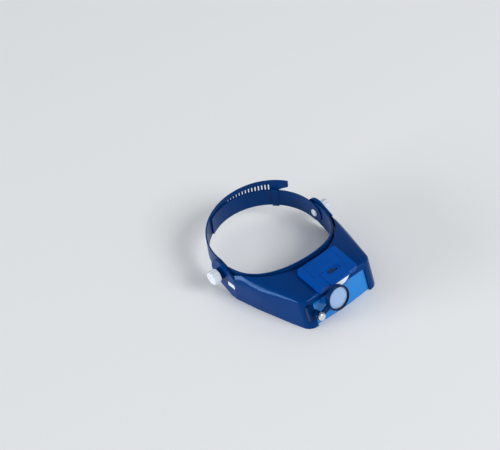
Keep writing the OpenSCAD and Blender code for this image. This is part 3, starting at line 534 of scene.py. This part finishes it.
# Loupe
# A small strong lens in a round rim on a swinging arm. The arm turns on a slotted plated screw
# in a moulded bracket that is pinned to the hood's right cheek.
LOUPE_BLUE = (0.0004, 0.022, 0.1)
loupe_plastic = moulding("loupe_blue_plastic", LOUPE_BLUE, gloss=0.22, gloss_change=0.08,
                         shine_tint=BLUE_SHINE)
soften("loupe_arm", width=0.0004, segments=3)
soften("loupe_bracket", width=0.0004)
dress(loupe_plastic, "loupe_arm", "loupe_bracket")
chrome_plate = plated_steel("chrome_screw_plate", (0.82, 0.83, 0.85), 0.08)
soften("loupe_screw", width=0.0002)
soften("loupe_washer", width=0.0001)
dress(chrome_plate, "loupe_screw")
dress(screw_steel, "loupe_washer")
loupe_glass = clear_plastic("loupe_glass", (0.48, 0.68, 1.0), clear=0.35, ior=1.52)
soften("loupe_lens", width=0.0001)
dress(loupe_glass, "loupe_lens")
retainer_plastic = moulding("retainer_black_plastic", (0.008, 0.012, 0.03), gloss=0.35)
soften("loupe_retainer", width=0.0002)
dress(retainer_plastic, "loupe_retainer")

# Loupe screw's knurl
# Fine straight ridges on the rim of the chromed screw head, so that fingers can turn it. They
# are rolled into the steel before it is plated.
KNURL = {"Ridges": 36, "Head Radius": 0.0048, "Ridge Radius": 0.0003, "Ridge Length": 0.0012}
HEAD_TOP_TO_RIDGE_MIDDLE = 0.0013
RIDGE_SIDES = 3


def size_tree(name, sizes):
    """An empty geometry tree with one named input for each size."""
    tree = bpy.data.node_groups.new(name, "GeometryNodeTree")
    for size, value in sizes.items():
        kind = "NodeSocketInt" if isinstance(value, int) else "NodeSocketFloat"
        tree.interface.new_socket(size, in_out="INPUT", socket_type=kind).default_value = value
    tree.interface.new_socket("Geometry", in_out="OUTPUT", socket_type="NodeSocketGeometry")
    return tree, tree.nodes.new("NodeGroupInput")


def end_tree(tree, instances, finish):
    """Closes a geometry tree: real geometry instead of instances, in the piece's finish."""
    real = tree.nodes.new("GeometryNodeRealizeInstances")
    coat = tree.nodes.new("GeometryNodeSetMaterial")
    coat.inputs["Material"].default_value = finish
    link(tree, instances, "Instances", real, "Geometry")
    link(tree, real, "Geometry", coat, "Geometry")
    link(tree, coat, "Geometry", tree.nodes.new("NodeGroupOutput"), "Geometry")


def piece_from(tree, name, place, sizes):
    """Runs a geometry tree with the given sizes and keeps the result as a plain mesh in place."""
    carrier = bpy.data.objects.new(name + "_carrier", bpy.data.meshes.new(name + "_carrier"))
    bpy.context.scene.collection.objects.link(carrier)
    maker = carrier.modifiers.new(name, "NODES")
    maker.node_group = tree
    for item in tree.interface.items_tree:
        if item.in_out == "INPUT":
            maker[item.identifier] = sizes[item.name]
    depsgraph = bpy.context.evaluated_depsgraph_get()
    mesh = bpy.data.meshes.new_from_object(carrier.evaluated_get(depsgraph))
    bpy.data.objects.remove(carrier)
    mesh.transform(place)
    piece = bpy.data.objects.new(name, mesh)
    bpy.context.scene.collection.objects.link(piece)
    return piece


def knurl_tree(sizes, finish):
    """Three-sided ridges on a circle, each with one corner outwards."""
    tree, given = size_tree("screw_knurl", sizes)
    ring = tree.nodes.new("GeometryNodeMeshCircle")
    link(tree, given, "Ridges", ring, "Vertices")
    link(tree, given, "Head Radius", ring, "Radius")
    ridge = tree.nodes.new("GeometryNodeMeshCylinder")
    ridge.inputs["Vertices"].default_value = RIDGE_SIDES
    link(tree, given, "Ridge Radius", ridge, "Radius")
    link(tree, given, "Ridge Length", ridge, "Depth")
    step = tree.nodes.new("ShaderNodeMath")
    step.operation = "DIVIDE"
    step.inputs[0].default_value = 2 * math.pi
    tree.links.new(given.outputs["Ridges"], step.inputs[1])
    turn = tree.nodes.new("ShaderNodeMath")
    turn.operation = "MULTIPLY"
    tree.links.new(tree.nodes.new("GeometryNodeInputIndex").outputs["Index"], turn.inputs[0])
    tree.links.new(step.outputs[0], turn.inputs[1])
    outwards = tree.nodes.new("ShaderNodeCombineXYZ")
    tree.links.new(turn.outputs[0], outwards.inputs["Z"])
    spread = tree.nodes.new("GeometryNodeInstanceOnPoints")
    link(tree, ring, "Mesh", spread, "Points")
    link(tree, ridge, "Mesh", spread, "Instance")
    link(tree, outwards, "Vector", spread, "Rotation")
    end_tree(tree, spread, finish)
    return tree


swing = next(j for j in frame["joints"] if j["name"] == "loupe_swing")
screw_axis = Vector(swing["axis"]).normalized()
screw_points = [v.co for v in frame["nodes"]["loupe_screw"].data.vertices]
screw_middle = sum((Vector(c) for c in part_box("loupe_screw")), Vector()) / 2
head_top = max(screw_axis.dot(point - screw_middle) for point in screw_points)
head_place = screw_middle + (head_top - HEAD_TOP_TO_RIDGE_MIDDLE) * screw_axis
head_turn = screw_axis.to_track_quat("Z", "X").to_matrix().to_4x4()
knurl = piece_from(knurl_tree(KNURL, chrome_plate), "loupe_screw_knurl",
                   Matrix.Translation(head_place) @ head_turn, KNURL)
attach(knurl, "visor")

# Lamp housing
# A clip-in lamp on the hood's top: a tub through the panel, a cover with a raised nose over the
# lens and a lid over the cells. Brighter blue ABS than the hood.
LAMP_BLUE = (0.0005, 0.07, 0.37)
lamp_plastic = moulding("lamp_blue_plastic", LAMP_BLUE, gloss=0.24, gloss_change=0.1,
                        shine_tint=BLUE_SHINE)
soften("lamp_cover", width=0.0005)
soften("battery_door", width=0.0004)
soften("lamp_base", width=0.0004)
dress(lamp_plastic, "lamp_cover", "battery_door")
dress(frame_plastic, "lamp_base")
dress(screw_steel, "lamp_screws")

# Door ribs
# Four half-round ribs on the pull tab at the back of the lid, as a grip for a thumbnail, moulded
# with the lid in the same blue plastic.
DOOR_RIBS = {"Ribs": 4, "Pitch": 0.0012, "Rib Length": 0.011, "Rib Radius": 0.0003}
TAB_EDGE_TO_RIB = 0.0013
RIB_SIDES = 12


def rib_tree(sizes, finish):
    """Round bars across the tab, one behind the other and half sunk in it."""
    tree, given = size_tree("door_ribs", sizes)
    forwards = tree.nodes.new("ShaderNodeMath")
    forwards.operation = "MULTIPLY"
    forwards.inputs[1].default_value = -1.0
    tree.links.new(given.outputs["Pitch"], forwards.inputs[0])
    pitch = tree.nodes.new("ShaderNodeCombineXYZ")
    tree.links.new(forwards.outputs[0], pitch.inputs["Y"])
    row = tree.nodes.new("GeometryNodeMeshLine")
    link(tree, given, "Ribs", row, "Count")
    link(tree, pitch, "Vector", row, "Offset")
    bar = tree.nodes.new("GeometryNodeMeshCylinder")
    bar.inputs["Vertices"].default_value = RIB_SIDES
    link(tree, given, "Rib Radius", bar, "Radius")
    link(tree, given, "Rib Length", bar, "Depth")
    across = tree.nodes.new("GeometryNodeTransform")
    across.inputs["Rotation"].default_value = (0, math.pi / 2, 0)
    link(tree, bar, "Mesh", across, "Geometry")
    spread = tree.nodes.new("GeometryNodeInstanceOnPoints")
    link(tree, row, "Mesh", spread, "Points")
    link(tree, across, "Geometry", spread, "Instance")
    end_tree(tree, spread, finish)
    return tree


lift = next(j for j in frame["joints"] if j["name"] == "door_lift")
panel_up = Vector(lift["axis"]).normalized()
panel_right = Vector((1, 0, 0))
panel_back = panel_up.cross(panel_right)
lid_points = [v.co for v in frame["nodes"]["battery_door"].data.vertices]
tab_edge = max(lid_points, key=lambda point: point.z)
panel_turn = Matrix((panel_right, panel_back, panel_up)).transposed().to_4x4()
first_rib = Vector((0, tab_edge.y, tab_edge.z)) - TAB_EDGE_TO_RIB * panel_back
door_ribs = piece_from(rib_tree(DOOR_RIBS, lamp_plastic), "door_ribs",
                       Matrix.Translation(first_rib) @ panel_turn, DOOR_RIBS)
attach(door_ribs, "door")

# Lamp's inside
# Two clear diodes on a green board shine through a bright cone block and a frosted window;
# a slide switch and two cells with plated contacts feed them.
window_plastic = moulding("lamp_window_plastic", (0.84, 0.87, 0.92), gloss=0.2, scuffs=0.1)
bright_plastic = moulding("reflector_bright_plastic", (0.8, 0.82, 0.85), gloss=0.12)
diode_epoxy = clear_plastic("diode_epoxy", (0.97, 0.97, 0.9), ior=1.5)
board_green = moulding("board_green_lacquer", (0.01, 0.09, 0.03), gloss=0.3)
switch_black = moulding("switch_black_plastic", (0.01, 0.01, 0.012), gloss=0.4)
slider_dark = moulding("slider_dark_plastic", (0.01, 0.03, 0.09), gloss=0.4)
cell_film = moulding("cell_wrap_film", (0.42, 0.27, 0.03), gloss=0.22)
soften("switch_slider", width=0.0002)
soften("lamp_window", width=0.0001)
dress(window_plastic, "lamp_window")
dress(bright_plastic, "reflector")
dress(diode_epoxy, "lamp_leds")
dress(board_green, "circuit_board")
dress(switch_black, "switch_body")
dress(slider_dark, "switch_slider")
dress(cell_film, "cells")
dress(screw_steel, "cell_contacts")

# Headband
# A rigid forehead band and two rear straps of the same blue plastic. The straps overlap at the
# back, where a stud drops into one of the tongue's slots and a sleeve keeps them together.
BAND_BLUE = (0.0004, 0.032, 0.15)
band_plastic = moulding("band_blue_plastic", BAND_BLUE, shine_tint=BLUE_SHINE)
soften("forehead_band", width=0.0005)
soften("strap_right", width=0.0003)
soften("strap_left", width=0.0003)
soften("buckle", width=0.0006)
dress(band_plastic, "forehead_band", "strap_right", "strap_left", "buckle")

# Pivots and knobs
# White lobed knobs with brass threads clamp the arms to the headband on moulded bolts, with a
# blue ringed spacer outside each arm and a dark fibre washer between it and the band.
brass = plated_steel("insert_brass", (0.62, 0.44, 0.15), 0.25)
washer_fibre = moulding("washer_fibre", (0.03, 0.032, 0.036), gloss=0.7, scuffs=0.0)
for hand in ("right", "left"):
    soften("knob_" + hand, width=0.0006, segments=3)
    soften("pivot_bolt_" + hand, width=0.0005)
    soften("knob_spacer_" + hand, width=0.0003)
    dress(hood_plastic, "knob_spacer_" + hand)
    dress(knob_plastic_and_painted_slot_light, "knob_" + hand, "pivot_bolt_" + hand)
    dress(washer_fibre, "friction_washer_" + hand)
    dress(brass, "knob_insert_" + hand)
